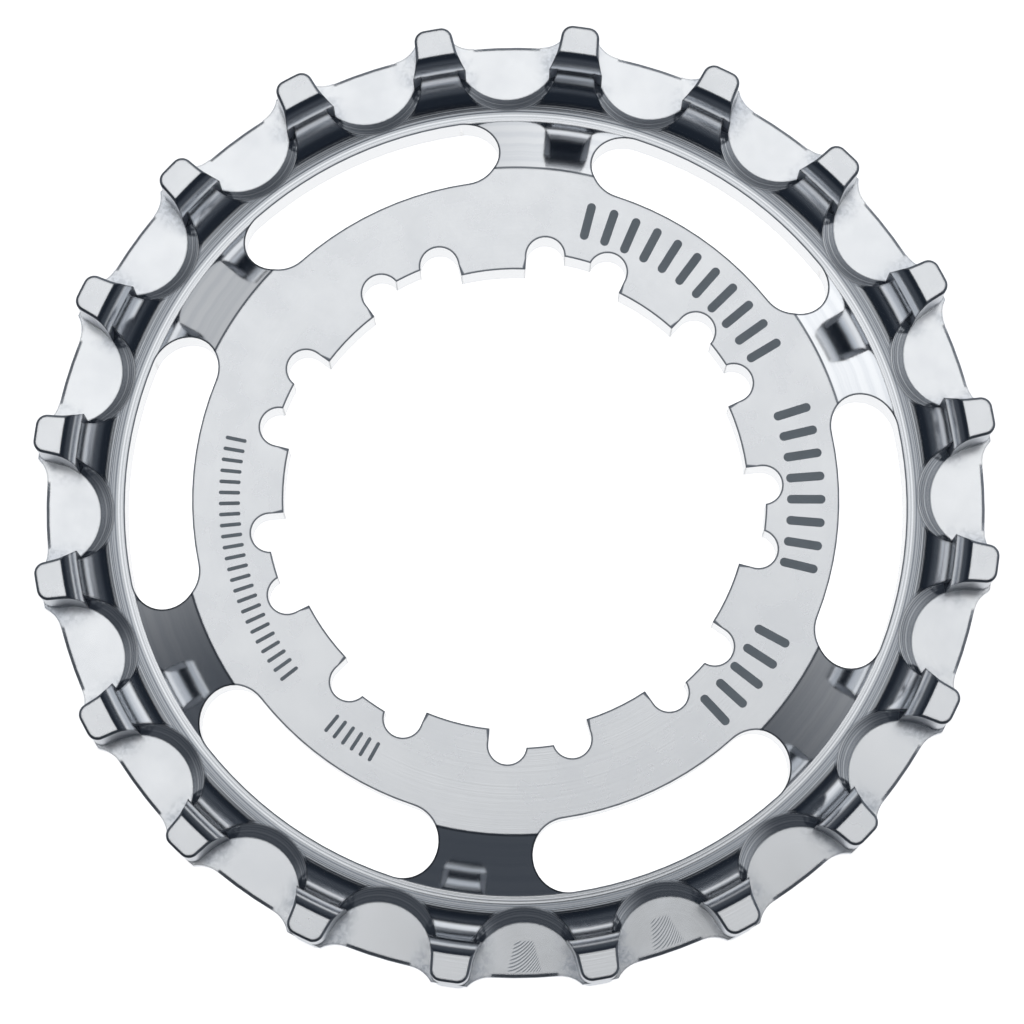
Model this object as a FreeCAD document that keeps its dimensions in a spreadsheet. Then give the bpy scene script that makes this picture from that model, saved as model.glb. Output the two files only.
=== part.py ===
import FreeCAD, Part
import math
import os
import Sketcher
from FreeCAD import Vector

# One-piece sprocket for a toothed belt with a centre groove. The axis is Z, z = 0 is the
# middle of the thin fin that runs in the belt's groove, and +Z is the outer face. +Y passes
# through a gap between two teeth and through the middle of a window.

doc = FreeCAD.newDocument("BeltSprocket")

sizes = doc.addObject("Spreadsheet::Sheet", "Sizes")
rows = [
    ("ToothCount", 20, "teeth round the ring"),
    ("BeltPitch", 11, "distance from tooth to tooth on the belt's pitch line"),
    ("TipDrop", 0.83, "pitch circle to the tooth tips"),
    ("RingWidth", 10.6, "tooth ring from outer face to inner face"),
    ("FinThickness", 1.6, "centre fin that runs in the belt's groove"),
    ("GapRadius", 3.8, "round bottom of the gap between two teeth"),
    ("GapDrop", 1.7, "pitch circle to the centre of that round bottom"),
    ("FlankLean", 13.3, "tooth flank from the middle line of its gap, degrees"),
    ("TipCorner", 0.8, "rounded corners of a tooth's tip"),
    ("CrestDrop", 0.79, "tooth tips to the fin's crest between the teeth"),
    ("CrestHalfAngle", 4.07, "half of the crest's concentric part, degrees"),
    ("CrestScoop", 2.2, "hollow that rises from the crest to each tooth"),
    ("CrestBreak", 0.22, "chamfer on both sides of the crest's concentric part"),
    ("FloorShift", 1.1, "how far the gap's sloped floor runs in towards the rim"),
    ("FloorRise", 1.15, "height of that sloped floor above the fin's face"),
    ("ShoulderLength", 3.08, "tooth tips in to the root of the overhanging tooth"),
    ("FloorStop", 0.15, "how far short of that root the sloped floor stops"),
    ("ToothFlat", 1.95, "flat outer end of a tooth, from its tip"),
    ("ToothRound", 1.9, "rounded inner end of the tooth's outer face"),
    ("RoundBreak", 20, "slope at which that round leaves the flat, degrees"),
    ("StemSlope", 75, "steepest slope of the stem, where the round meets the cove, degrees"),
    ("EdgeBreak", 0.17, "chamfer along the edges of the teeth's flat ends"),
    ("RimWidth", 3.8, "rim between its two flat lands"),
    ("RimLand", 0.7, "flat land between the windows and the gap floors"),
    ("PlateThickness", 3.6, "splined plate"),
    ("PlateRadius", 23.6, "edge of the plate's flat outer face"),
    ("WindowOverlap", 0.87, "how far the windows reach into the plate"),
    ("WindowCount", 6, "windows and spokes"),
    ("SpokeWidth", 6.62, "narrowest width of a spoke"),
    ("SplineRadius", 16.32, "wide lands of the spline, the bore's own radius"),
    ("SplineCount", 9, "wide lands round the bore"),
    ("SplineTurn", 0.5, "spline turned against the teeth, degrees"),
    ("LandHalfAngle", 7.9, "half of one wide land, degrees"),
    ("ScallopRadius", 1.34, "round scallops on either side of a narrow land"),
    ("ScallopCentre", 17.4, "radius on which the scallops' centres lie"),
    ("ScallopAngle", 7.5, "scallop from the middle of its narrow land, degrees"),
    ("NarrowLand", 17.57, "crest radius of a narrow land"),
    ("Overcut", 1, "how far the cuts run on past the surfaces that they open"),
]
for number, (alias, value, note) in enumerate(rows, 1):
    sizes.set("A%d" % number, note)
    sizes.set("B%d" % number, str(value))
    sizes.setAlias("B%d" % number, alias)
doc.recompute()


def size(alias):
    return float(sizes.get(alias))


# Radii that follow from the belt: written once as formulas and once as numbers that only
# place the first guess of each sketch.
PITCH = "Sizes.ToothCount * Sizes.BeltPitch / (2 * pi)"
TIP = PITCH + " - Sizes.TipDrop"
GAP_CENTRE = PITCH + " - Sizes.GapDrop"
RIM_INNER = GAP_CENTRE + " - Sizes.GapRadius - Sizes.FloorShift - Sizes.RimLand"
ROOT = TIP + " - Sizes.ShoulderLength"
WINDOW_INNER = "Sizes.PlateRadius - Sizes.WindowOverlap"
pitch = size("ToothCount") * size("BeltPitch") / (2 * math.pi)
tip = pitch - size("TipDrop")
gapCentre = pitch - size("GapDrop")
rimInner = gapCentre - size("GapRadius") - size("FloorShift") - size("RimLand")
root = tip - size("ShoulderLength")
windowInner = size("PlateRadius") - size("WindowOverlap")
face = size("RingWidth") / 2
finFace = size("FinThickness") / 2
land = size("RimWidth") / 2

body = doc.addObject("PartDesign::Body", "Body")
body.Label = "sprocket"


def plane(role):
    for item in body.Origin.OriginFeatures:
        if item.Role == role:
            return item
    raise ValueError(role)


# A sketch of the body, on one of its planes or parallel to it at a bound height.
def sketchOn(name, role, height=None):
    made = body.newObject("Sketcher::SketchObject", name)
    made.AttachmentSupport = [(plane(role), "")]
    made.MapMode = "FlatFace"
    if height:
        made.setExpression("AttachmentOffset.Base.z", height)
    return made


def line(sketch, start, end, construction=False):
    return sketch.addGeometry(
        Part.LineSegment(Vector(start[0], start[1], 0), Vector(end[0], end[1], 0)), construction)


# An arc that runs anticlockwise from one angle to the other, in degrees.
def arc(sketch, centre, radius, first, last):
    circle = Part.Circle(Vector(centre[0], centre[1], 0), Vector(0, 0, 1), radius)
    return sketch.addGeometry(
        Part.ArcOfCircle(circle, math.radians(first), math.radians(last)), False)


def tie(sketch, *terms):
    return sketch.addConstraint(Sketcher.Constraint(*terms))


# A dimension with a name, driven by the spreadsheet.
def bind(sketch, name, formula, *terms):
    index = sketch.addConstraint(Sketcher.Constraint(*terms))
    sketch.renameConstraint(index, name)
    sketch.setExpression("Constraints." + name, formula)
    return index


def turned(radius, degrees):
    angle = math.radians(degrees)
    return (radius * math.sin(angle), radius * math.cos(angle))


# The turned blank: splined plate flush with the teeth's outer face, coned spokes down to the
# thin rim, a cove up to the teeth on both sides, and the full ring of teeth and fin. The cove
# takes whatever height the rim and the teeth's rounds leave it.
breakSlope = size("RoundBreak")
stemSlope = size("StemSlope")
toothRound = size("ToothRound")
flatEdge = tip - size("ToothFlat")
roundCentre = (flatEdge + toothRound * math.sin(math.radians(breakSlope)),
               face - toothRound * math.cos(math.radians(breakSlope)))
stem = (roundCentre[0] - toothRound * math.sin(math.radians(stemSlope)),
        roundCentre[1] + toothRound * math.cos(math.radians(stemSlope)))
cove = (stem[1] - land) / (1 - math.cos(math.radians(stemSlope)))
coveFoot = stem[0] - cove * math.sin(math.radians(stemSlope))
plateBack = face - size("PlateThickness")
bore = size("SplineRadius")
plateEdge = size("PlateRadius")
spokeRun = (rimInner - plateEdge) / (face - land)
backEdge = rimInner - spokeRun * (plateBack + land)

section = sketchOn("Section", "XZ_Plane")
line(section, (bore, plateBack), (bore, face))
line(section, (bore, face), (plateEdge, face))
line(section, (plateEdge, face), (rimInner, land))
line(section, (rimInner, land), (coveFoot, land))
arc(section, (coveFoot, land + cove), cove, 270, 270 + stemSlope)
arc(section, roundCentre, toothRound, 90 + breakSlope, 90 + stemSlope)
line(section, (flatEdge, face), (tip, face))
line(section, (tip, face), (tip, -face))
line(section, (tip, -face), (flatEdge, -face))
arc(section, (roundCentre[0], -roundCentre[1]), toothRound, 270 - stemSlope, 270 - breakSlope)
arc(section, (coveFoot, -land - cove), cove, 90 - stemSlope, 90)
line(section, (coveFoot, -land), (rimInner, -land))
line(section, (rimInner, -land), (backEdge, plateBack))
line(section, (backEdge, plateBack), (bore, plateBack))

START = 1
END = 2
CENTRE = 3
joints = [
    ("Coincident", 0, END, 1, START), ("Coincident", 1, END, 2, START),
    ("Coincident", 2, END, 3, START), ("Tangent", 3, END, 4, START),
    ("Tangent", 4, END, 5, END), ("Coincident", 5, START, 6, START),
    ("Coincident", 6, END, 7, START), ("Coincident", 7, END, 8, START),
    ("Coincident", 8, END, 9, END), ("Coincident", 9, START, 10, START),
    ("Coincident", 10, END, 11, START), ("Coincident", 11, END, 12, START),
    ("Coincident", 12, END, 13, START), ("Coincident", 13, END, 0, START),
]
for joint in joints:
    tie(section, *joint)
for level in (1, 3, 6, 13):
    tie(section, "Horizontal", level)
tie(section, "Vertical", 0)
# The inner side of the ring mirrors its outer side about the middle of the fin.
for upper, upperEnd, lower, lowerEnd in ((7, START, 7, END), (6, START, 8, END),
                                         (4, END, 10, START), (3, END, 11, START),
                                         (3, START, 11, END)):
    tie(section, "Symmetric", upper, upperEnd, lower, lowerEnd, -1)
tie(section, "Equal", 4, 10)
tie(section, "Equal", 5, 9)
tie(section, "Parallel", 2, 12)
bind(section, "BoreRadius", "Sizes.SplineRadius", "DistanceX", -1, START, 0, END, bore)
bind(section, "FlatRadius", "Sizes.PlateRadius", "DistanceX", -1, START, 2, START, plateEdge)
bind(section, "RimInner", RIM_INNER, "DistanceX", -1, START, 3, START, rimInner)
bind(section, "TipRadius", TIP, "DistanceX", -1, START, 7, START, tip)
bind(section, "ToothFlat", "Sizes.ToothFlat", "DistanceX", 6, START, 6, END, size("ToothFlat"))
bind(section, "OuterFace", "Sizes.RingWidth / 2", "DistanceY", -1, START, 0, END, face)
bind(section, "ToothFace", "Sizes.RingWidth / 2", "DistanceY", -1, START, 7, START, face)
bind(section, "RimFace", "Sizes.RimWidth / 2", "DistanceY", -1, START, 3, START, land)
bind(section, "Plate", "Sizes.PlateThickness", "DistanceY", 0, START, 0, END,
     size("PlateThickness"))
bind(section, "ToothRound", "Sizes.ToothRound", "Radius", 5, toothRound)
bind(section, "Break", "Sizes.ToothRound * sin(Sizes.RoundBreak)", "DistanceX",
     5, START, 5, CENTRE, roundCentre[0] - flatEdge)
bind(section, "Slope", "Sizes.ToothRound * sin(Sizes.StemSlope)", "DistanceX",
     5, END, 5, CENTRE, roundCentre[0] - stem[0])
doc.recompute()
print("cove", round(cove, 3), "foot", round(coveFoot, 3), "stem", stem)

blank = body.newObject("PartDesign::Revolution", "Blank")
blank.Profile = section
blank.ReferenceAxis = (section, ["V_Axis"])
blank.Angle = 360
doc.recompute()
print("blank", round(blank.Shape.Volume, 2))

# Gap between two teeth, on +Y. Its outline has a round bottom, two leaning flanks and the
# rounded corners of the neighbouring teeth's tips, and it is open beyond the tip circle.
radius = size("GapRadius")
lean = size("FlankLean")
corner = size("TipCorner")
leanRad = math.radians(lean)
overcut = size("Overcut")


def gapOutline(name, height):
    sketch = sketchOn(name, "XY_Plane", height)
    foot = (radius * math.cos(leanRad), gapCentre - radius * math.sin(leanRad))
    # centre of the tip's corner: one corner radius off the flank, inside the tip circle
    off = (foot[0] + corner * math.cos(leanRad), foot[1] - corner * math.sin(leanRad))
    along = off[0] * math.sin(leanRad) + off[1] * math.cos(leanRad)
    reach = tip - corner
    travel = -along + math.sqrt(along ** 2 - off[0] ** 2 - off[1] ** 2 + reach ** 2)
    middle = (off[0] + travel * math.sin(leanRad), off[1] + travel * math.cos(leanRad))
    shoulder = (middle[0] - corner * math.cos(leanRad), middle[1] + corner * math.sin(leanRad))
    out = math.hypot(*middle)
    top = (middle[0] * tip / out, middle[1] * tip / out)
    aim = math.degrees(math.atan2(middle[1], middle[0]))
    away = (top[0] + overcut * middle[1] / out, top[1] - overcut * middle[0] / out)
    ceiling = tip + 2 * overcut
    arc(sketch, (0, gapCentre), radius, 180 + lean, 360 - lean)
    line(sketch, foot, shoulder)
    arc(sketch, middle, corner, aim, 180 - lean)
    line(sketch, top, away)
    line(sketch, away, (away[0], ceiling))
    line(sketch, (away[0], ceiling), (-away[0], ceiling))
    line(sketch, (-away[0], ceiling), (-away[0], away[1]))
    line(sketch, (-away[0], away[1]), (-top[0], top[1]))
    arc(sketch, (-middle[0], middle[1]), corner, lean, 180 - aim)
    line(sketch, (-shoulder[0], shoulder[1]), (-foot[0], foot[1]))
    ray = line(sketch, (0, 0), top, True)
    for joint in [("Tangent", 0, END, 1, START), ("Tangent", 1, END, 2, END),
                  ("Coincident", 2, START, 3, START), ("Coincident", 3, END, 4, START),
                  ("Coincident", 4, END, 5, START), ("Coincident", 5, END, 6, START),
                  ("Coincident", 6, END, 7, START), ("Coincident", 7, END, 8, END),
                  ("Coincident", 8, START, 9, START), ("Coincident", 9, END, 0, START),
                  ("Coincident", ray, START, -1, START), ("Coincident", ray, END, 3, START),
                  ("PointOnObject", 2, CENTRE, ray), ("Perpendicular", 3, ray),
                  ("PointOnObject", 0, CENTRE, -2), ("Vertical", 4), ("Equal", 2, 8)]:
        tie(sketch, *joint)
    for right, rightEnd, left, leftEnd in ((0, START, 0, END), (1, END, 9, START),
                                           (3, START, 7, END), (3, END, 7, START),
                                           (5, START, 5, END)):
        tie(sketch, "Symmetric", right, rightEnd, left, leftEnd, -2)
    bind(sketch, "Bottom", "Sizes.GapRadius", "Radius", 0, radius)
    bind(sketch, "Centre", GAP_CENTRE, "DistanceY", -1, START, 0, CENTRE, gapCentre)
    bind(sketch, "Lean", "90 - Sizes.FlankLean", "Angle", 1, math.radians(90 - lean))
    bind(sketch, "Corner", "Sizes.TipCorner", "Radius", 2, corner)
    bind(sketch, "TipCircle", TIP, "Distance", ray, tip)
    bind(sketch, "Runout", "Sizes.Overcut", "Distance", 3, overcut)
    bind(sketch, "Ceiling", TIP + " + 2 * Sizes.Overcut", "DistanceY", -1, START, 5, START, ceiling)
    return sketch


# Sloped floor of a gap: the same round bottom, further in towards the rim at the rim's face
# than at the fin's. It stops under the root of the overhanging teeth.
def floorOutline(name, height, shift):
    centre = gapCentre - (size("FloorShift") if shift else 0)
    formula = GAP_CENTRE + (" - Sizes.FloorShift" if shift else "")
    chord = root - size("FloorStop")
    half = math.sqrt(radius ** 2 - (centre - chord) ** 2)
    sink = math.degrees(math.asin((centre - chord) / radius))
    sketch = sketchOn(name, "XY_Plane", height)
    arc(sketch, (0, centre), radius, 180 + sink, 360 - sink)
    line(sketch, (half, chord), (-half, chord))
    for joint in [("Coincident", 0, END, 1, START), ("Coincident", 0, START, 1, END),
                  ("PointOnObject", 0, CENTRE, -2), ("Horizontal", 1)]:
        tie(sketch, *joint)
    bind(sketch, "Bottom", "Sizes.GapRadius", "Radius", 0, radius)
    bind(sketch, "Centre", formula, "DistanceY", -1, START, 0, CENTRE, centre)
    bind(sketch, "Root", ROOT + " - Sizes.FloorStop", "DistanceY", -1, START, 1, START, chord)
    return sketch


cuts = []
for side, sign in (("Outer", ""), ("Inner", "-")):
    fin = sign + "Sizes.FinThickness / 2"
    floor = sign + "(Sizes.FinThickness / 2 + Sizes.FloorRise)"
    gap = gapOutline(side + "Gap", fin)
    low = floorOutline(side + "FloorLow", fin, False)
    high = floorOutline(side + "FloorHigh", floor, True)
    doc.recompute()

    slot = body.newObject("PartDesign::Pocket", side + "Slot")
    slot.Profile = gap
    slot.Reversed = (side == "Outer")
    slot.setExpression("Length", "Sizes.RingWidth")
    doc.recompute()
    cuts.append(slot)
    print(slot.Name, round(body.Shape.Volume, 2))

    slope = body.newObject("PartDesign::SubtractiveLoft", side + "Floor")
    slope.Profile = low
    slope.Sections = [high]
    slope.Ruled = True
    doc.recompute()
    cuts.append(slope)
    print(slope.Name, round(body.Shape.Volume, 2))

    clear = body.newObject("PartDesign::Pocket", side + "Clear")
    clear.Profile = high
    clear.Reversed = (side == "Outer")
    clear.setExpression("Length", "Sizes.RingWidth")
    doc.recompute()
    cuts.append(clear)
    print(clear.Name, round(body.Shape.Volume, 2))

# Crest of the fin between two teeth: concentric in the middle, then a hollow up to each tooth.
crest = tip - size("CrestDrop")
scoop = size("CrestScoop")
crestAngle = size("CrestHalfAngle")
hub = turned(crest + scoop, crestAngle)
crestSketch = sketchOn("Crest", "XY_Plane")
bottom = turned(crest, crestAngle)
arc(crestSketch, (0, 0), crest, 90 - crestAngle, 90 + crestAngle)
arc(crestSketch, hub, scoop, 270 - crestAngle, 360)
line(crestSketch, (hub[0] + scoop, hub[1]), (-hub[0] - scoop, hub[1]))
arc(crestSketch, (-hub[0], hub[1]), scoop, 180, 270 + crestAngle)
spread = line(crestSketch, (0, 0), hub, True)
mirror = line(crestSketch, (0, 0), (-hub[0], hub[1]), True)
for joint in [("Coincident", 0, START, 1, START), ("Coincident", 1, END, 2, START),
              ("Coincident", 2, END, 3, START), ("Coincident", 3, END, 0, END),
              ("Coincident", 0, CENTRE, -1, START), ("PointOnObject", 1, CENTRE, 2),
              ("Coincident", spread, START, -1, START), ("Coincident", spread, END, 1, CENTRE),
              ("Coincident", mirror, START, -1, START), ("Coincident", mirror, END, 3, CENTRE),
              ("PointOnObject", 0, START, spread), ("PointOnObject", 0, END, mirror),
              ("Horizontal", 2)]:
    tie(crestSketch, *joint)
tie(crestSketch, "Symmetric", 1, CENTRE, 3, CENTRE, -2)
bind(crestSketch, "Crest", TIP + " - Sizes.CrestDrop", "Radius", 0, crest)
bind(crestSketch, "Scoop", "Sizes.CrestScoop", "Radius", 1, scoop)
bind(crestSketch, "Half", "90 - Sizes.CrestHalfAngle", "Angle", spread,
     math.radians(90 - crestAngle))
doc.recompute()
dip = body.newObject("PartDesign::Pocket", "FinCrest")
dip.Profile = crestSketch
dip.Midplane = True
dip.setExpression("Length", "Sizes.FinThickness")
doc.recompute()
cuts.append(dip)
print(dip.Name, round(body.Shape.Volume, 2))

# Turned chamfers on both sides of the crest's concentric part. Each cut's outline is a
# triangle whose long side lies on the chamfer and runs on past the fin at both ends.
crestBreak = size("CrestBreak")
for side, sign in (("Outer", 1), ("Inner", -1)):
    corner = body.newObject("Sketcher::SketchObject", side + "CrestCorner")
    corner.AttachmentSupport = [(plane("YZ_Plane"), "")]
    corner.MapMode = "FlatFace"
    low = (crest - 2 * crestBreak, sign * (finFace + crestBreak))
    high = (crest + crestBreak, sign * (finFace - 2 * crestBreak))
    far = (high[0], low[1])
    line(corner, low, high)
    line(corner, high, far)
    line(corner, far, low)
    for joint in [("Coincident", 0, END, 1, START), ("Coincident", 1, END, 2, START),
                  ("Coincident", 2, END, 0, START), ("Vertical", 1), ("Horizontal", 2)]:
        tie(corner, *joint)
    bind(corner, "Low", TIP + " - Sizes.CrestDrop - 2 * Sizes.CrestBreak", "DistanceX",
         -1, START, 0, START, low[0])
    bind(corner, "High", TIP + " - Sizes.CrestDrop + Sizes.CrestBreak", "DistanceX",
         -1, START, 1, START, high[0])
    ends = (0, START, -1, START) if sign < 0 else (-1, START, 0, START)
    bind(corner, "Above", "Sizes.FinThickness / 2 + Sizes.CrestBreak", "DistanceY",
         *ends, abs(low[1]))
    ends = (1, START, 1, END) if sign > 0 else (1, END, 1, START)
    bind(corner, "Depth", "3 * Sizes.CrestBreak", "DistanceY", *ends, 3 * crestBreak)
    doc.recompute()
    shave = body.newObject("PartDesign::Groove", side + "CrestBreak")
    shave.Profile = corner
    shave.ReferenceAxis = (corner, ["V_Axis"])
    shave.Midplane = True
    shave.setExpression("Angle", "2 * Sizes.CrestHalfAngle")
    doc.recompute()
    cuts.append(shave)
    print(shave.Name, round(body.Shape.Volume, 4))

gaps = body.newObject("PartDesign::PolarPattern", "Gaps")
gaps.Originals = cuts
gaps.Axis = (section, ["V_Axis"])
gaps.Angle = 360
gaps.setExpression("Occurrences", "Sizes.ToothCount")
body.Tip = gaps
doc.recompute()
print("gaps", round(body.Shape.Volume, 2))

# Window between two spokes: an annular slot with full round ends.
windowHalf = (rimInner - windowInner) / 2
windowMid = (rimInner + windowInner) / 2
spread = 180 / size("WindowCount")
reach = math.degrees(math.asin((size("SpokeWidth") / 2 + windowHalf) / windowMid))
tilt = spread - reach
window = sketchOn("Window", "XY_Plane")
centre = turned(windowMid, tilt)
arc(window, (0, 0), rimInner, 90 - tilt, 90 + tilt)
arc(window, (-centre[0], centre[1]), windowHalf, 90 + tilt, 270 + tilt)
arc(window, (0, 0), windowInner, 90 - tilt, 90 + tilt)
arc(window, centre, windowHalf, -90 - tilt, 90 - tilt)
middleRay = line(window, (0, 0), centre, True)
spokeRay = line(window, (0, 0), turned(windowMid, spread), True)
for joint in [("Tangent", 0, END, 1, START), ("Tangent", 1, END, 2, END),
              ("Tangent", 2, START, 3, START), ("Tangent", 3, END, 0, START),
              ("Coincident", 0, CENTRE, -1, START), ("Coincident", 2, CENTRE, -1, START),
              ("Coincident", middleRay, START, -1, START),
              ("Coincident", middleRay, END, 3, CENTRE),
              ("Coincident", spokeRay, START, -1, START)]:
    tie(window, *joint)
tie(window, "Horizontal", 1, CENTRE, 3, CENTRE)
bind(window, "Outer", RIM_INNER, "Radius", 0, rimInner)
bind(window, "InnerEdge", WINDOW_INNER, "Radius", 2, windowInner)
bind(window, "SpokeAngle", "90 - 180 / Sizes.WindowCount", "Angle", spokeRay,
     math.radians(90 - spread))
bind(window, "SpokeLength", "(" + RIM_INNER + " + " + WINDOW_INNER + ") / 2",
     "Distance", spokeRay, windowMid)
bind(window, "HalfSpoke", "Sizes.SpokeWidth / 2 + (" + RIM_INNER + " - (" + WINDOW_INNER + ")) / 2",
     "Distance", 3, CENTRE, spokeRay, size("SpokeWidth") / 2 + windowHalf)
doc.recompute()
opening = body.newObject("PartDesign::Pocket", "WindowCut")
opening.Profile = window
opening.Midplane = True
opening.setExpression("Length", "3 * Sizes.RingWidth")
doc.recompute()
print(opening.Name, round(body.Shape.Volume, 2))
windows = body.newObject("PartDesign::PolarPattern", "Windows")
windows.Originals = [opening]
windows.Axis = (section, ["V_Axis"])
windows.Angle = 360
windows.setExpression("Occurrences", "Sizes.WindowCount")
body.Tip = windows
doc.recompute()
print("windows", round(body.Shape.Volume, 2))

# Space between two wide lands of the spline: two scallops with a narrow land between them.
scallop = size("ScallopRadius")
seat = size("ScallopCentre")
swing = size("ScallopAngle")
narrow = size("NarrowLand")
halfSpace = 180 / size("SplineCount") - size("LandHalfAngle")
hollow = turned(seat, swing)
inward = bore - overcut
flankTop = turned(seat, swing)
swingRad = math.radians(swing)
outerPoint = (hollow[0] + scallop * math.cos(swingRad), hollow[1] - scallop * math.sin(swingRad))
landPoint = turned(inward, halfSpace)
# where the scallop meets the narrow land's crest
cosine = (narrow ** 2 + seat ** 2 - scallop ** 2) / (2 * narrow * seat)
narrowHalf = swing - math.degrees(math.acos(cosine))
narrowPoint = turned(narrow, narrowHalf)
begin = math.degrees(math.atan2(outerPoint[1] - hollow[1], outerPoint[0] - hollow[0]))
finish = math.degrees(math.atan2(narrowPoint[1] - hollow[1], narrowPoint[0] - hollow[0]))
finish = finish % 360
spline = sketchOn("SplineSpace", "XY_Plane")
arc(spline, (0, 0), narrow, 90 - narrowHalf, 90 + narrowHalf)
arc(spline, hollow, scallop, begin, finish)
line(spline, landPoint, outerPoint)
line(spline, (-landPoint[0], landPoint[1]), landPoint)
line(spline, (-outerPoint[0], outerPoint[1]), (-landPoint[0], landPoint[1]))
arc(spline, (-hollow[0], hollow[1]), scallop, 180 - finish, 180 - begin)
aim = line(spline, (0, 0), hollow, True)
for joint in [("Coincident", 0, START, 1, END), ("Tangent", 1, START, 2, END),
              ("Coincident", 2, START, 3, END), ("Coincident", 3, START, 4, END),
              ("Coincident", 4, START, 5, END), ("Coincident", 5, START, 0, END),
              ("Coincident", 0, CENTRE, -1, START), ("Coincident", aim, START, -1, START),
              ("Coincident", aim, END, 1, CENTRE), ("Equal", 1, 5)]:
    tie(spline, *joint)
tie(spline, "Symmetric", 1, CENTRE, 5, CENTRE, -2)
tie(spline, "Symmetric", 2, START, 4, END, -2)
tie(spline, "Horizontal", 2, END, 4, START)
bind(spline, "Narrow", "Sizes.NarrowLand", "Radius", 0, narrow)
bind(spline, "Scallop", "Sizes.ScallopRadius", "Radius", 1, scallop)
bind(spline, "Seat", "Sizes.ScallopCentre", "Distance", aim, seat)
bind(spline, "Swing", "90 - Sizes.ScallopAngle", "Angle", aim, math.radians(90 - swing))
landRay = line(spline, (0, 0), landPoint, True)
tie(spline, "Coincident", landRay, START, -1, START)
tie(spline, "Coincident", landRay, END, 2, START)
bind(spline, "Inward", "Sizes.SplineRadius - Sizes.Overcut", "Distance", landRay, inward)
bind(spline, "LandEdge", "90 - 180 / Sizes.SplineCount + Sizes.LandHalfAngle", "Angle", landRay,
     math.radians(90 - halfSpace))
spline.setExpression("AttachmentOffset.Rotation.Angle", "Sizes.SplineTurn + 180 / Sizes.SplineCount")
doc.recompute()
groove = body.newObject("PartDesign::Pocket", "SplineCut")
groove.Profile = spline
groove.Midplane = True
groove.setExpression("Length", "3 * Sizes.RingWidth")
doc.recompute()
print(groove.Name, round(body.Shape.Volume, 2))
grooves = body.newObject("PartDesign::PolarPattern", "Spline")
grooves.Originals = [groove]
grooves.Axis = (section, ["V_Axis"])
grooves.Angle = 360
grooves.setExpression("Occurrences", "Sizes.SplineCount")
body.Tip = grooves
doc.recompute()
print("spline", round(body.Shape.Volume, 2))

# Chamfers along the tip, corners and flanks of each tooth's flat ends.
edges = []
for number, edge in enumerate(body.Shape.Edges, 1):
    points = edge.discretize(3)
    radii = [math.hypot(point.x, point.y) for point in points]
    level = all(abs(abs(point.z) - face) < 1e-4 for point in points)
    if level and min(radii) > flatEdge - 0.01 and max(radii) > flatEdge + 0.01:
        edges.append("Edge%d" % number)
trim = body.newObject("PartDesign::Chamfer", "EdgeBreak")
trim.Base = (grooves, edges)
trim.setExpression("Size", "Sizes.EdgeBreak")
body.Tip = trim
doc.recompute()
print("chamfers", len(edges), round(body.Shape.Volume, 2))

for item in doc.Objects:
    if "Invalid" in item.State or "Error" in item.State:
        raise RuntimeError("failed: " + item.Name)
    if item.isDerivedFrom("Sketcher::SketchObject"):
        print(item.Name, "open degrees", item.solve(), item.FullyConstrained)
shape = body.Shape
if shape.isNull() or not shape.isValid() or len(shape.Solids) != 1:
    raise RuntimeError("the sprocket isn't one valid solid")
box = shape.optimalBoundingBox()
print("box", round(box.XLength, 3), round(box.YLength, 3), round(box.ZLength, 3),
      "faces", len(shape.Faces), "volume", round(shape.Volume, 1))

os.makedirs("parts", exist_ok=True)
shape.exportStep(os.path.join("parts", body.Label + ".step"))
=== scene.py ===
import math

import bmesh
import bpy
from mathutils import Matrix, Vector


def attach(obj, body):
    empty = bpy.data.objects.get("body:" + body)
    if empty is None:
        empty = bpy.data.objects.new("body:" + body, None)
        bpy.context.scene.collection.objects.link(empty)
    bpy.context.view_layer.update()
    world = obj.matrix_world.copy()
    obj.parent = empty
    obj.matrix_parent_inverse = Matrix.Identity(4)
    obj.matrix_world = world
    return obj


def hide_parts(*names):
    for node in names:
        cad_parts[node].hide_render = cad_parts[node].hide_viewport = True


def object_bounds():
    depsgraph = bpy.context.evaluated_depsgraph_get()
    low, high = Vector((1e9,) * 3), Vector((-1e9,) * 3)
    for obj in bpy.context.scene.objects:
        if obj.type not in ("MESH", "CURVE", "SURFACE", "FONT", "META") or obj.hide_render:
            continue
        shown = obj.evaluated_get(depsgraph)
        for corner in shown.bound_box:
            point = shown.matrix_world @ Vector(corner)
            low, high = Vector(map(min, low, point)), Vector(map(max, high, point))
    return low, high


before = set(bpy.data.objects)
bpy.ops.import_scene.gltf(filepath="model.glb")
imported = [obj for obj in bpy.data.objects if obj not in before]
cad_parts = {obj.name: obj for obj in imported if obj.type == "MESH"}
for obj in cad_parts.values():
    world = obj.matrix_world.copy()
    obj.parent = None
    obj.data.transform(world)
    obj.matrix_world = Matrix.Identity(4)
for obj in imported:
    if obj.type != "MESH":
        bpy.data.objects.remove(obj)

cadLow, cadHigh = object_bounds()
scene = bpy.context.scene
scene.view_settings.view_transform = "Standard"
print("frame loaded:", sorted(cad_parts))


# The photograph looks down the axis from a little below its own middle.
shot = {
    "turn": 34.92,          # degrees from +Y round to the picture's up
    "tilt": 7.5,            # degrees off the axis, towards the picture's foot
    "distance": 0.340,
    "lens": 170.3,
    "aim": (-0.00026, -0.00098),   # to the picture's right and up, on the outer face
}

turn = math.radians(shot["turn"])
pictureRight = Vector((math.cos(turn), math.sin(turn), 0))
pictureUp = Vector((-math.sin(turn), math.cos(turn), 0))
axis = Vector((0, 0, 1))


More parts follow.
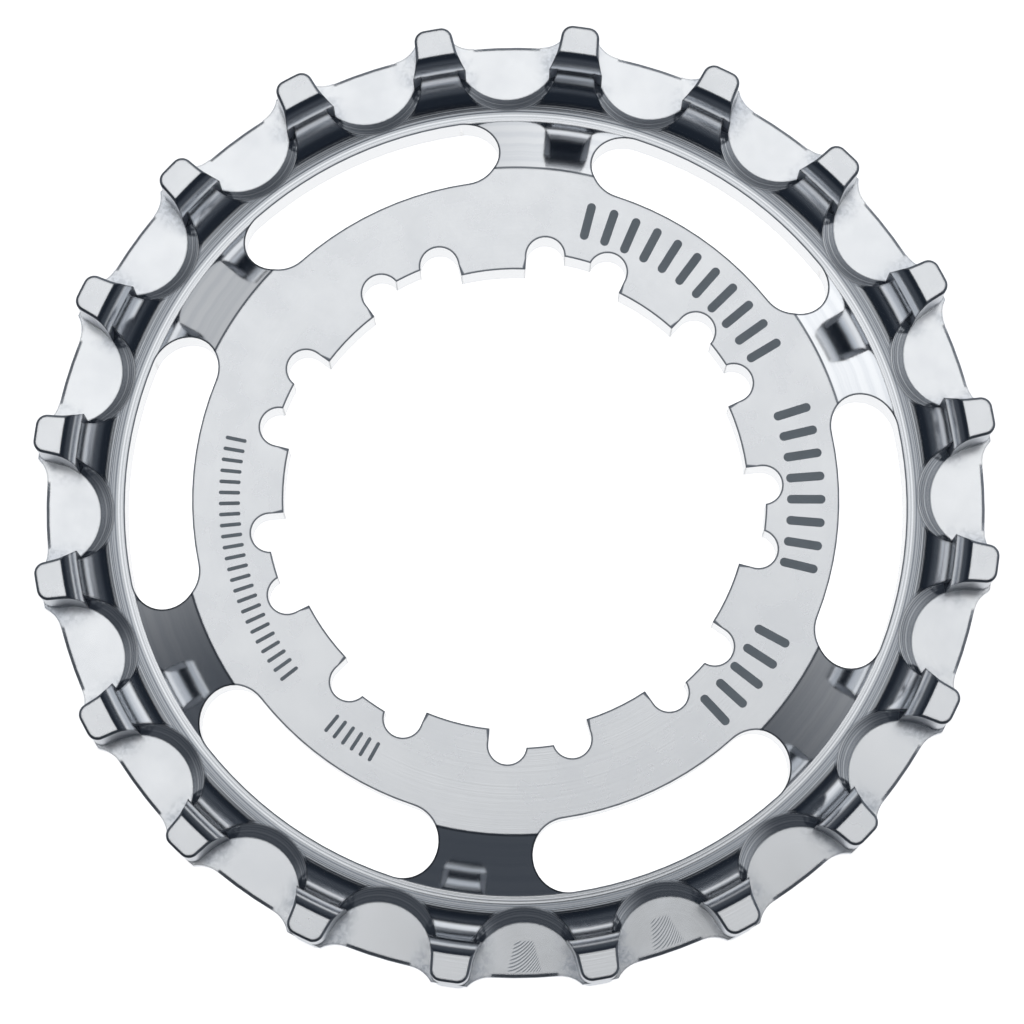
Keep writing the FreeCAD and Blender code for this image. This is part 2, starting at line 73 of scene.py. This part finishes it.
def makeCamera():
    tilt = math.radians(shot["tilt"])
    back = axis * math.cos(tilt) - pictureUp * math.sin(tilt)
    aim = pictureRight * shot["aim"][0] + pictureUp * shot["aim"][1] + axis * cadHigh.z
    lens = bpy.data.cameras.new("camera")
    lens.lens = shot["lens"]
    lens.sensor_width = 36
    lens.clip_start, lens.clip_end = 0.01, 20
    camera = bpy.data.objects.new("camera", lens)
    scene.collection.objects.link(camera)
    turned = Matrix((pictureRight, back.cross(pictureRight), back)).transposed()
    camera.matrix_world = Matrix.Translation(aim + back * shot["distance"]) @ turned.to_4x4()
    scene.camera = camera


makeCamera()
print("camera placed")


class Wire:
    def __init__(self, graph, socket):
        self.graph, self.socket = graph, socket

    def out(self, name):     # another output of the same node
        return Wire(self.graph, self.socket.node.outputs[name])

    def sum(self, operation, *others):
        return self.graph.add("ShaderNodeMath", {"operation": operation},
                              dict(enumerate((self, *others))))

    def __add__(self, other):
        return self.sum("ADD", other)

    __radd__ = __add__

    def __mul__(self, other):
        return self.sum("MULTIPLY", other)

    __rmul__ = __mul__

    def __sub__(self, other):
        return self.sum("SUBTRACT", other)

    def __rsub__(self, other):
        return self.graph.add("ShaderNodeMath", {"operation": "SUBTRACT"}, {0: other, 1: self})

    def __truediv__(self, other):
        return self.sum("DIVIDE", other)

    def __abs__(self):
        return self.sum("ABSOLUTE")

    def step(self, low, high):     # 0 below low, 1 above high, smooth between
        return self.graph.add("ShaderNodeMapRange", {"interpolation_type": "SMOOTHSTEP"},
                              {"Value": self, "From Min": low, "From Max": high})

    def repeat(self, period):      # folds into -period/2 .. period/2
        return self.sum("WRAP", period / 2, -period / 2)


class Graph:
    def __init__(self, tree):
        self.tree = tree
        tree.nodes.clear()

    def add(self, kind, settings=None, inputs=None, output=0):
        node = self.tree.nodes.new(kind)
        for name, value in (settings or {}).items():
            setattr(node, name, value)
        for name, value in (inputs or {}).items():
            if isinstance(value, Wire):
                self.tree.links.new(value.socket, node.inputs[name])
            elif value is not None:
                node.inputs[name].default_value = value
        return Wire(self, node.outputs[output]) if len(node.outputs) else node

    def place(self):               # the point on the piece
        return self.add("ShaderNodeTexCoord", output="Object")

    def noise(self, vector, scale, detail, roughness):
        return self.add("ShaderNodeTexNoise", None,
                        {"Vector": vector, "Scale": scale, "Detail": detail, "Roughness": roughness})

    def line(self, value):         # noise along one number
        return self.add("ShaderNodeTexNoise", {"noise_dimensions": "1D"},
                        {"W": value, "Scale": 1.0, "Detail": 2.0, "Roughness": 0.6})

    def mix(self, factor, first, second):
        node = self.tree.nodes.new("ShaderNodeMix")
        node.data_type = "RGBA"
        for index, value in ((0, factor), (6, first), (7, second)):
            if isinstance(value, Wire):
                self.tree.links.new(value.socket, node.inputs[index])
            else:
                node.inputs[index].default_value = value
        return Wire(self, node.outputs[2])


def newMaterial(name):
    material = bpy.data.materials.new(name)
    material.use_nodes = True
    return material, Graph(material.node_tree)


# Bare steel: satin end faces, bright turned coves and cones, end-milled gaps, dull broken edges.
# Painted shade darkens the edges, chamfers, outlines, stems, gap floors, walls and the cove's foot.
steel = {
    "colour": (0.84, 0.85, 0.865, 1),
    "shade": (0.62, 0.65, 0.70, 1),
    # painted shade on the stems and gap floors, also the colour of the lathe lines and cutter marks
    "shadeAndMarkColour": (0.30, 0.325, 0.36, 1),
    # painted shade on edges, chamfers, outlines and the cove's foot
    "edgeShadeColour": (0.16, 0.18, 0.21, 1),
    "satin": 0.27,                 # roughness of the end faces
    "turned": 0.10,                # of the coves, rounds and cones
    "milled": 0.19,                # of the gaps
    "dullShadedEdge": 0.34,                  # of the broken edges
    "softEdge": 0.00018,
    "markDepth": 0.00001,
    # the outline is painted shade
    "outline": (0.06, 0.16),       # dark line round the windows and the bore, millimetres
}

# Where the form's parts lie, in millimetres from the axis and in degrees round it.
form = {
    "toothStep": 18.0,
    "gapCentre": 33.31,            # of the round gap bottoms
    "gapRadius": 3.8,
    "floorRun": 1.1,
    "hatched": (-54.0, -36.0),     # gaps with a fan of cutter marks left on the fin
    "plateEdge": 23.67,
    "windowStep": 60.0,
    "windowReach": 16.7,           # from a window's middle to the centre of its round end
    "windowMiddle": 25.22,
    "windowHalf": 2.49,
    "splineStep": 40.0,
    "splineStart": 110.5,          # the middle of a narrow land
    "boreRadius": 16.32,
    "narrowLand": 17.57,
    "scallopRadius": 1.34,
    "scallopAt": (2.271, 17.251),
    "landFlank": 3.52,
}

# Each zone of the finish starts or ends softly between two numbers.
zones = {
    "flat": (0.97, 0.995),         # how squarely the surface faces along the axis
    "upright": (0.02, 0.12),
    "open": (0.35, 0.55),
    "stemLean": (0.55, 0.85),
    "chamferLow": (0.50, 0.62),
    "chamferHigh": (0.80, 0.90),
    "finTop": (0.9, 1.1),          # heights above the middle, in millimetres
    "crestTop": (0.82, 0.86),
    "footTop": (1.92, 2.15),
    "floorTop": (2.0, 2.2),
    "rimTop": (2.2, 2.5),
    "stemBottom": (2.4, 3.2),
    "plateTop": (4.9, 5.0),
    "toothTop": (5.0, 5.08),
    "rimStart": (26.8, 27.2),      # distances from the axis, in millimetres
    "footStart": (28.0, 28.2),
    "shelfStart": (28.15, 28.40),
    "floorStart": (28.2, 28.5),
    "outerStart": (29.0, 30.0),
    "stemStart": (29.4, 30.2),
    "flankStart": (29.6, 30.2),
    "toothStart": (31.0, 31.5),
    "crestStart": (33.0, 33.1),
    "browHalf": (0.05, 0.11),
    "broken": (0.006, 0.05),
}


# How far a point lies outside the nearest window and outside the splined bore.
def toOpening(radius, angle):
    beyond = abs((angle - 90).repeat(form["windowStep"])) - form["windowReach"]
    beyond = beyond.sum("MAXIMUM", 0.0) * (math.pi / 180)
    aside = radius * beyond.sum("SINE")
    along = radius * beyond.sum("COSINE") - form["windowMiddle"]
    toWindow = (aside * aside + along * along).sum("SQRT") - form["windowHalf"]

    swing = abs((angle - form["splineStart"]).repeat(form["splineStep"])) * (math.pi / 180)
    scallopX, scallopY = form["scallopAt"]
    aside = radius * swing.sum("SINE")
    along = radius * swing.sum("COSINE")
    offX, offY = aside - scallopX, along - scallopY
    toScallop = (offX * offX + offY * offY).sum("SQRT") - form["scallopRadius"]
    toNarrow = (radius - form["narrowLand"]).sum("MAXIMUM", offX)
    toFlank = (aside - form["landFlank"]).sum("MAXIMUM", offY)
    toLand = radius - form["boreRadius"]
    toBore = toLand.sum("MINIMUM", toScallop).sum("MINIMUM", toNarrow).sum("MINIMUM", toFlank)
    return toBore.sum("MINIMUM", toWindow)


def makeSteel():
    material, g = newMaterial("turnedSteel")
    point = g.place()
    parts = g.add("ShaderNodeSeparateXYZ", None, {0: point})
    x, y, level = parts.out("X") * 1000, parts.out("Y") * 1000, abs(parts.out("Z") * 1000)
    radius = (x * x + y * y).sum("SQRT")
    angle = y.sum("ARCTAN2", x) * (180 / math.pi)
    normal = g.add("ShaderNodeNewGeometry", output="Normal")
    sides = g.add("ShaderNodeSeparateXYZ", None, {0: normal})
    facing = abs(sides.out("Z"))
    flat = facing.step(*zones["flat"])
    upright = 1 - facing.step(*zones["upright"])
    sloped = (1 - flat) * (1 - upright)

    # the point against the middle of the nearest gap
    turned = (angle - 90).repeat(form["toothStep"])
    cell = angle - turned
    local = turned * (math.pi / 180)
    across = radius * local.sum("SINE")
    out = radius * local.sum("COSINE") - form["gapCentre"]
    reach = (across * across + out * out).sum("SQRT")
    floorEnd = form["gapRadius"] + form["floorRun"]
    inGap = 1 - reach.step(floorEnd, floorEnd + 0.12)
    fin = flat * inGap * (1 - level.step(*zones["finTop"]))
    floor = sloped * inGap * (1 - level.step(*zones["floorTop"]))
    floor = floor * radius.step(*zones["floorStart"])
    rim = flat * (1 - fin) * (1 - level.step(*zones["rimTop"])) * radius.step(*zones["rimStart"])
    face = flat * (1 - fin) * (1 - rim)
    smooth = sloped * (1 - floor)

    # lathe lines run round the axis, milled lines round the middle of each gap
    mottle = g.noise(point, 330.0, 3.0, 0.6)
    cloud = g.noise(point, 110.0, 2.0, 0.6)
    speck = g.noise(point, 3200.0, 2.0, 0.5)
    rings = g.line((radius + level) * 5.0)
    grooves = g.line((radius + level) * 11.0)
    arcs = g.line(reach * 5.0 + mottle * 0.8)
    floorLines = g.line((reach + level) * 4.0)

    # crossing cutter marks, a narrow fan of them left on two of the fins
    fan = 1 - (abs(across) / (1.5 + out * 0.3)).step(0.60, 1.0)
    fan = fan * out.step(-2.6, -2.3) * (1 - out.step(-0.5, -0.2))
    first, second = form["hatched"]
    second = 0.45 + abs(cell - second).step(1.0, 2.0) * 0.55
    near = 1 - abs(cell - first).step(1.0, 2.0) * second
    hatch = ((out * 1.1 + across * 0.9 + across * across * 0.35) * 23).sum("SINE") * fan * near

    # lathe marks are deeper at the foot of the cove than on its side and the spokes
    low = 1 - level.step(*zones["footTop"])
    foot = smooth * low * radius.step(*zones["footStart"])
    # painted shade darkens this shelf at the cove's foot
    shadedShelf = (rim + smooth) * low * radius.step(*zones["shelfStart"])
    # painted shade darkens the flank walls
    flank = upright * radius.step(*zones["flankStart"])
    # the stems are rougher and darkened with painted shade
    stem = smooth * level.step(*zones["stemBottom"]) * radius.step(*zones["stemStart"])
    stem = stem * (1 - facing.step(*zones["stemLean"]))
    height = (face * (rings * 0.25 + grooves * 0.04)
              + rim * (rings * 1.6 + grooves * 0.5)
              + fin * (arcs * 0.05 + hatch * 0.05)
              + floor * (floorLines * 1.0 + mottle * 0.2)
              + smooth * (rings * 0.02 + grooves * 0.10) + foot * rings * 1.4
              + upright * mottle * 0.2)
    rough = (face * (steel["satin"] - 0.04 + mottle * 0.08)
             + rim * (0.10 + rings * 0.10)
             + fin * (steel["milled"] - 0.05 + mottle * 0.12)
             + floor * (0.10 + floorLines * 0.12)
             + smooth * (steel["turned"] - 0.04 + grooves * 0.07) + stem * (0.03 + grooves * 0.10)
             + upright * (steel["milled"] - 0.04 + mottle * 0.10) + flank * 0.22)

    # chamfers, broken edges and inner corners are rougher and carry painted shade, as do the dark
    # lines along the plate's edge and round the windows and the bore
    edgeNormal = g.add("ShaderNodeBevel", {"samples": 2}, {"Radius": steel["softEdge"]})
    turnedAway = 1 - g.add("ShaderNodeVectorMath", {"operation": "DOT_PRODUCT"},
                           {0: edgeNormal, 1: normal}, "Value")
    outer = radius.step(*zones["outerStart"])
    broken = (turnedAway - outer * 0.03).step(*zones["broken"]) * (1 - floor) * (1 - fin)
    outline = 1 - toOpening(radius, angle).step(*steel["outline"])
    outline = outline * facing.step(*zones["open"])
    chamfer = facing.step(*zones["chamferLow"]) * (1 - facing.step(*zones["chamferHigh"]))
    inward = (x * sides.out("X") + y * sides.out("Y")) / radius
    onTooth = level.step(*zones["toothTop"]) * radius.step(*zones["toothStart"])
    onTooth = onTooth * inward.step(-0.5, -0.35)
    onCrest = radius.step(*zones["crestStart"]) * (1 - level.step(*zones["crestTop"]))
    onCrest = onCrest * (1 - abs(across).step(1.5, 2.4))
    brow = 1 - abs(radius - form["plateEdge"]).step(*zones["browHalf"])
    brow = brow * level.step(*zones["plateTop"])
    dullShadedEdge = (chamfer * (onTooth + onCrest * 0.85) + broken * 0.92 + brow * 0.8
            + outline * 0.95).sum("MINIMUM", 1.0)

    # random tone, lathe, milled and cutter lines, darker specks in the fins' corners, and painted
    # shade on the stems, gap floors, walls, flanks and the cove's foot, from pale to dark
    corner = fin * (abs(across) / form["gapRadius"]).step(0.45, 0.95) * mottle.step(0.36, 0.60)
    toneAndShade = (face * (mottle * 0.5 + cloud * 0.5).step(0.30, 0.80) * 0.22
            + fin * ((cloud * 0.5 + mottle * 0.5).step(0.35, 0.75) * 0.25 + corner * 0.75)
            + (rim + smooth) * grooves.step(0.35, 0.70) * 0.30
            + stem * (0.55 + grooves.step(0.30, 0.70) * 0.45)
            + floor * floorLines.step(0.30, 0.60) * 0.9 + upright * 0.3
            + flank * 0.7).sum("MINIMUM", 1.0)
    lines = (rim + foot) * rings.step(0.45, 0.56) * 0.45
    cut = fin * (hatch.step(0.0, 0.5) * 0.9 + corner * speck.step(0.40, 0.62) * 0.4)
    # painted shade on the stems and gap floors, with lathe lines and cutter marks
    marksAndShade = (stem * 0.55 + floor * (0.30 + floorLines.step(0.42, 0.56) * 0.45)
           + lines + cut).sum("MINIMUM", 1.0)
    # painted shade on the edges and on the shelf at the cove's foot
    paintedShade = (dullShadedEdge + shadedShelf * (0.45 + grooves.step(0.35, 0.60) * 0.45)).sum("MINIMUM", 1.0)
    colour = g.mix(toneAndShade, steel["colour"], steel["shade"])
    colour = g.mix(marksAndShade, colour, steel["shadeAndMarkColour"])
    colour = g.mix(paintedShade, colour, steel["edgeShadeColour"])
    rough = rough * (1 - dullShadedEdge) + dullShadedEdge * steel["dullShadedEdge"]
    bump = g.add("ShaderNodeBump", None, {"Strength": 1.0, "Distance": steel["markDepth"],
                                          "Height": height, "Normal": edgeNormal})
    surface = g.add("ShaderNodeBsdfPrincipled", None, {
        "Base Color": colour, "Metallic": 1.0, "Roughness": rough, "Normal": bump})
    g.add("ShaderNodeOutputMaterial", None, {"Surface": surface})
    return material


def smoothCopy(node, name, crease):
    mesh = node.data.copy()
    work = bmesh.new()
    work.from_mesh(mesh)
    bmesh.ops.remove_doubles(work, verts=work.verts, dist=1e-6)
    limit = math.radians(crease)
    for edge in work.edges:
        edge.smooth = len(edge.link_faces) == 2 and edge.calc_face_angle(4) < limit
    for face in work.faces:
        face.smooth = True
    work.to_mesh(mesh)
    work.free()
    piece = bpy.data.objects.new(name, mesh)
    scene.collection.objects.link(piece)
    return piece


def frozen(piece, name):
    graph = bpy.context.evaluated_depsgraph_get()
    mesh = bpy.data.meshes.new_from_object(piece.evaluated_get(graph), depsgraph=graph)
    mesh.name = name
    piece.modifiers.clear()
    old = piece.data
    piece.data = mesh
    bpy.data.meshes.remove(old)
    return piece


# The turned and milled curves as the section has them, in millimetres: each arc's centre
# and radius in radius and height, the spoke cone's slant, and the gap floor's slant.
curves = {
    "cove": (28.304, 4.742, 2.842),
    "round": (32.884, 3.515, 1.9),
    "cone": (3.4, 4.114),
    "floor": (1.15, 1.1),
    "near": 0.03,          # how close to an arc a corner counts as on it
    "agree": 0.975,        # and how well its normal has to fit the face's
    "level": 0.9999,       # faces nearer than this to level are flat
    "steep": 0.12,         # and those below this are straight walls
    "crease": 24,          # degrees
}


def trueNormals(piece):
    mesh = piece.data
    normals = [Vector(corner.vector) for corner in mesh.corner_normals]
    coneOut, coneUp = Vector(curves["cone"]).normalized()
    floorIn, floorUp = Vector(curves["floor"]).normalized()
    changed = 0
    for polygon in mesh.polygons:
        side = 1 if polygon.center.z > 0 else -1
        if abs(polygon.normal.z) > curves["level"]:
            for corner in polygon.loop_indices:
                normals[corner] = Vector((0, 0, round(polygon.normal.z)))
            continue
        if abs(polygon.normal.z) < curves["steep"]:
            continue
        for corner in polygon.loop_indices:
            x, y, z = mesh.vertices[mesh.loops[corner].vertex_index].co * 1000
            outward = Vector((x, y)).normalized()
            radius, level = math.hypot(x, y), z * side
            found = []
            for name, hollow in (("cove", 1), ("round", -1)):
                middle, height, size = curves[name]
                away = Vector((middle - radius, height - level)) * hollow
                if abs(away.length - size) < curves["near"]:
                    found.append((outward * away.x / size, away.y / size))
            if radius < curves["cove"][0]:
                found.append((outward * coneOut, coneUp))
            step = math.radians(form["toothStep"])
            cell = math.pi / 2 + round((math.atan2(y, x) - math.pi / 2) / step) * step
            gap = Vector((math.cos(cell), math.sin(cell))) * form["gapCentre"]
            found.append(((gap - Vector((x, y))).normalized() * floorIn, floorUp))
            for flatPart, upPart in found:
                normal = Vector((flatPart.x, flatPart.y, upPart * side)).normalized()
                if normal.dot(polygon.normal) > curves["agree"]:
                    normals[corner] = normal
                    changed += 1
                    break
    mesh.normals_split_custom_set(normals)
    return changed


turnedSteel = makeSteel()
ring = smoothCopy(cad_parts["sprocket"], "sprocketSteel", curves["crease"])
shading = ring.modifiers.new("evenShading", "WEIGHTED_NORMAL")
shading.mode = "FACE_AREA"
shading.keep_sharp = True
frozen(ring, "sprocketSteel")
print("curves shaded true at", trueNormals(ring), "corners")
ring.data.materials.clear()
ring.data.materials.append(turnedSteel)
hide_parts("sprocket")
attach(ring, "root")
print("sprocket dressed:", len(ring.data.polygons), "faces")


# Plain etched bars where the real part is marked. The angles run clockwise in the picture.
etch = {
    "colour": (0.27, 0.305, 0.34, 1),
    "worn": (0.38, 0.415, 0.45, 1),
    "rough": 0.42,
    "grainDepth": 0.000004,
    "proud": 0.000010,
    "corner": 0.49,        # a bar's rounded corners, as a share of its width
    "groups": [
        {"from": 14.5, "to": 59.0, "count": 11, "radius": 0.0204, "wide": 0.00062, "tall": 0.0027},
        {"from": 72.5, "to": 103.5, "count": 8, "radius": 0.0204, "wide": 0.00062, "tall": 0.0027},
        {"from": 118.5, "to": 137.0, "count": 5, "radius": 0.0204, "wide": 0.00062, "tall": 0.0027},
        {"from": 232.0, "to": 282.0, "count": 24, "radius": 0.0201, "wide": 0.00026, "tall": 0.0015},
        {"from": 209.0, "to": 219.0, "count": 6, "radius": 0.0204, "wide": 0.00026, "tall": 0.0015},
    ],
}


def makeEtch():
    material, g = newMaterial("etchedSteel")
    point = g.place()
    grain = g.noise(point, 2500.0, 3.0, 0.6)
    patch = g.noise(point, 400.0, 2.0, 0.5)
    wear = (grain * 0.6 + patch * 0.4).step(0.35, 0.68) * 0.45
    colour = g.mix(wear, etch["colour"], etch["worn"])
    bump = g.add("ShaderNodeBump", None,
                 {"Strength": 0.4, "Distance": etch["grainDepth"], "Height": grain})
    surface = g.add("ShaderNodeBsdfPrincipled", None, {
        "Base Color": colour, "Metallic": 1.0, "Roughness": etch["rough"] + grain * 0.2,
        "Normal": bump})
    g.add("ShaderNodeOutputMaterial", None, {"Surface": surface})
    return material


def makeBarTree(material):
    tree = bpy.data.node_groups.new("etchedBars", "GeometryNodeTree")
    tree.interface.new_socket("Count", in_out="INPUT", socket_type="NodeSocketInt")
    for name in ("First Angle", "Step", "Radius", "Wide", "Tall", "Corner", "Proud", "Level"):
        tree.interface.new_socket(name, in_out="INPUT", socket_type="NodeSocketFloat")
    tree.interface.new_socket("Geometry", in_out="OUTPUT", socket_type="NodeSocketGeometry")
    g = Graph(tree)
    given = g.add("NodeGroupInput")
    bar = g.add("GeometryNodeCurvePrimitiveQuadrilateral", None,
                {"Width": given.out("Wide"), "Height": given.out("Tall")})
    rounded = g.add("GeometryNodeFilletCurve", {"mode": "POLY"},
                    {"Curve": bar, "Count": 7, "Radius": given.out("Corner"),
                     "Limit Radius": True})
    filled = g.add("GeometryNodeFillCurve", {"mode": "NGONS"}, {"Curve": rounded})
    raised = g.add("GeometryNodeExtrudeMesh", None,
                   {"Mesh": filled, "Offset Scale": given.out("Proud")})
    base = g.add("GeometryNodeFlipFaces", None, {"Mesh": filled})
    plate = g.add("GeometryNodeJoinGeometry")
    for part in (base, raised):
        tree.links.new(part.socket, plate.socket.node.inputs[0])
    index = g.add("GeometryNodeInputIndex")
    angle = given.out("First Angle") - index * given.out("Step")
    spot = g.add("ShaderNodeCombineXYZ", None, {
        "X": angle.sum("COSINE") * given.out("Radius"),
        "Y": angle.sum("SINE") * given.out("Radius"), "Z": given.out("Level")})
    row = g.add("GeometryNodePoints", None, {"Count": given.out("Count"), "Position": spot})
    spin = g.add("ShaderNodeCombineXYZ", None, {"Z": angle - math.pi / 2})
    bars = g.add("GeometryNodeInstanceOnPoints", None,
                 {"Points": row, "Instance": plate, "Rotation": spin})
    real = g.add("GeometryNodeRealizeInstances", None, {0: bars})
    done = g.add("GeometryNodeSetMaterial", None, {"Geometry": real, "Material": material})
    g.add("NodeGroupOutput", None, {0: done})
    return tree


def makeBars(tree, group, name):
    piece = bpy.data.objects.new(name, bpy.data.meshes.new(name))
    scene.collection.objects.link(piece)
    nodes = piece.modifiers.new("bars", "NODES")
    nodes.node_group = tree
    span = math.radians(group["to"] - group["from"])
    sizes = {
        "Count": group["count"],
        "First Angle": math.pi / 2 + turn - math.radians(group["from"]),
        "Step": span / max(1, group["count"] - 1),
        "Radius": group["radius"],
        "Wide": group["wide"],
        "Tall": group["tall"],
        "Corner": group["wide"] * etch["corner"],
        "Proud": etch["proud"],
        "Level": cadHigh.z,
    }
    for item in tree.interface.items_tree:
        if item.in_out == "INPUT":
            nodes[item.identifier] = sizes[item.name]
    return frozen(piece, name)


def joined(pieces, name):
    work = bmesh.new()
    for piece in pieces:
        work.from_mesh(piece.data)
        bpy.data.objects.remove(piece)
    mesh = bpy.data.meshes.new(name)
    work.to_mesh(mesh)
    work.free()
    whole = bpy.data.objects.new(name, mesh)
    scene.collection.objects.link(whole)
    return whole


etchedSteel = makeEtch()
barTree = makeBarTree(etchedSteel)
marks = joined([makeBars(barTree, group, "bars" + str(number))
                for number, group in enumerate(etch["groups"])], "etchedMarks")
marks.data.materials.clear()
marks.data.materials.append(etchedSteel)
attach(marks, "root")
print("marks etched:", len(marks.data.polygons), "faces")


# A round white table, a soft ceiling light with the lens's dark place in it, and a dim
# room with a brighter wall behind the part. Angles are in degrees off the axis.
studio = {
    "table": 0.058,
    "clear": 0.00002,      # from the part's lowest point down to the table
    "white": 0.92,
    "mirrored": 1.06,      # the same table as the steel mirrors it
    "matte": 0.8,
    "ceiling": {"side": (20.0, 27.0), "low": (-14.0, -6.0), "high": (21.0, 30.0), "level": 1.07},
    "lens": {"middle": (1.6, -4.0), "half": (6.0, 11.0), "soft": (0.62, 1.10), "left": 0.12},
    "room": (0.015, 0.020, 0.029, 1),
    "lifted": (0.060, 0.069, 0.084, 1),    # the same room nearer to the walls
    "lift": (48.0, 66.0),
    "tint": (0.985, 0.995),                # red and green of the light, against its blue
    "wall": {"rise": (75.0, 87.0), "fall": (94.0, 98.0), "below": 0.25, "least": 0.06,
             "behind": 350.0, "level": 0.44, "window": 65.0, "extra": 0.58},
}


def makeTable():
    material, g = newMaterial("paleTable")
    path = g.add("ShaderNodeLightPath")
    camera = path.out("Is Camera Ray")
    mirrored = (path.out("Is Glossy Ray") + path.out("Is Transmission Ray")).sum("MINIMUM", 1.0)
    matte = g.add("ShaderNodeBsdfDiffuse", None, {"Color": camera * studio["matte"]})
    glow = g.add("ShaderNodeEmission", None, {
        "Color": (1, 1, 1, 1), "Strength": camera * studio["white"] + mirrored * studio["mirrored"]})
    both = g.add("ShaderNodeAddShader", None, {0: matte, 1: glow})
    under = g.add("ShaderNodeNewGeometry", output="Backfacing")
    clear = g.add("ShaderNodeBsdfTransparent")
    side = g.add("ShaderNodeMixShader", None, {0: under, 1: both, 2: clear})
    g.add("ShaderNodeOutputMaterial", None, {"Surface": side})
    material.cycles.emission_sampling = "NONE"
    work = bmesh.new()
    bmesh.ops.create_circle(work, cap_ends=True, segments=128, radius=studio["table"],
                            matrix=Matrix.Translation((0, 0, cadLow.z - studio["clear"])))
    mesh = bpy.data.meshes.new("table")
    work.to_mesh(mesh)
    work.free()
    table = bpy.data.objects.new("table", mesh)
    scene.collection.objects.link(table)
    table.data.materials.append(material)


def makeRoom():
    world = bpy.data.worlds.new("studio")
    world.use_nodes = True
    scene.world = world
    world.cycles.sampling_method = "NONE"    # mirrored light needs no search for lamps
    g = Graph(world.node_tree)
    degrees = 180 / math.pi
    way = g.add("ShaderNodeTexCoord", output="Generated")

    def along(direction):
        return g.add("ShaderNodeVectorMath", {"operation": "DOT_PRODUCT"},
                     {0: way, 1: tuple(direction)}, "Value")

    right, up, rise = along(pictureRight), along(pictureUp), along(axis)
    off = rise.sum("ARCCOSINE") * degrees
    sideways = right.sum("ARCTAN2", rise) * degrees
    upwards = up.sum("ARCTAN2", rise) * degrees

    shape = studio["ceiling"]
    ceiling = ((1 - abs(sideways).step(*shape["side"])) * upwards.step(*shape["low"])
               * (1 - upwards.step(*shape["high"])) * rise.step(0.0, 0.2))
    lens = studio["lens"]
    acrossLens = (sideways - lens["middle"][0]) / lens["half"][0]
    upLens = (upwards - lens["middle"][1]) / lens["half"][1]
    shaded = 1 - (acrossLens * acrossLens + upLens * upLens).sum("SQRT").step(*lens["soft"])
    ceiling = ceiling * (1 - shaded * (1 - lens["left"])) * shape["level"]

    wall = studio["wall"]
    level = (right * right + up * up).sum("SQRT").sum("MAXIMUM", 0.001)

    def facing(azimuth):           # how nearly a direction points to that side of the picture
        angle = math.radians(azimuth)
        return (up * math.cos(angle) + right * math.sin(angle)) / level

    bright = (facing(wall["behind"]).step(-0.35, 0.35) * wall["level"]
              + facing(wall["window"]).step(0.0, 0.85) * wall["extra"] + wall["least"])
    band = off.step(*wall["rise"]) * (1 - off.step(*wall["fall"]) * (1 - wall["below"]))
    white = ceiling + band * bright
    red, green = studio["tint"]
    glow = g.add("ShaderNodeCombineColor", None, {0: white * red, 1: white * green, 2: white})
    room = g.mix(off.step(*studio["lift"]), studio["room"], studio["lifted"])
    colour = g.add("ShaderNodeVectorMath", {"operation": "ADD"}, {0: glow, 1: room})
    seen = g.add("ShaderNodeLightPath", output="Is Camera Ray")
    light = g.mix(seen, colour, (1, 1, 1, 1))
    background = g.add("ShaderNodeBackground", None, {"Color": light, "Strength": 1.0})
    g.add("ShaderNodeOutputWorld", None, {"Surface": background})


makeTable()
makeRoom()
print("studio lit")
